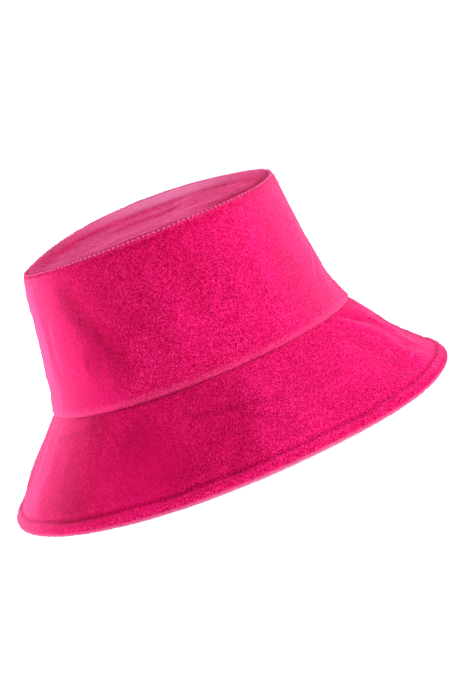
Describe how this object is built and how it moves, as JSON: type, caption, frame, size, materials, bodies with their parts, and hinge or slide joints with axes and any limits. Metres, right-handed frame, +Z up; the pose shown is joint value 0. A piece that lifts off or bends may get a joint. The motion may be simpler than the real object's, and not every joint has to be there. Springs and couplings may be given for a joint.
{
  "type": "bucket hat",
  "caption": "Soft terry bucket hat: round dished tip, tapered crown and a wide down-sloping brim, lined, with a sweatband and a loose blank care label inside.",
  "frame": {"origin": "middle of the plane that the brim's edge rests on, on the crown's axis", "axes": "+Z up the crown's axis, -Y towards the front of the hat, +X towards the wearer's left"},
  "size_m": [0.2906, 0.2906, 0.1511],
  "materials": {
    "terry": "looped cotton terry towelling, matte with a soft pink sheen at grazing angles",
    "interlining": "matte non-woven fusible",
    "lining": "plain-weave cotton, matte",
    "sweatband": "ribbed grosgrain, low sheen",
    "seam_tape": "matte cotton twill tape",
    "thread": "spun polyester sewing thread, slight lustre",
    "label": "woven satin ribbon, blank"
  },
  "bodies": {
    "hat": {"crown_tip": "terry", "crown_side_front": "terry", "crown_side_back": "terry", "brim_top_front": "terry", "brim_top_back": "terry", "brim_under_front": "terry", "brim_under_back": "terry", "crown_tip_interlining": "interlining", "crown_interlining_front": "interlining", "crown_interlining_back": "interlining", "brim_interlining_front": "interlining", "brim_interlining_back": "interlining", "lining_tip": "lining", "lining_side_front": "lining", "lining_side_back": "lining", "sweatband": "sweatband", "head_seam_tape": "seam_tape", "tip_seam_thread": "thread", "head_seam_thread": "thread", "brim_edge_topstitch": "thread", "brim_edge_bobbin_thread": "thread", "sweatband_stitch": "thread"},
    "care_label": {"care_label": "label"}
  },
  "joints": [
    {"name": "label_swing", "type": "hinge", "parent": "hat", "child": "care_label", "pos_m": [0, 0.07568, 0.14453], "axis": [-1, 0, 0], "range_deg": [-8, 55]}
  ]
}
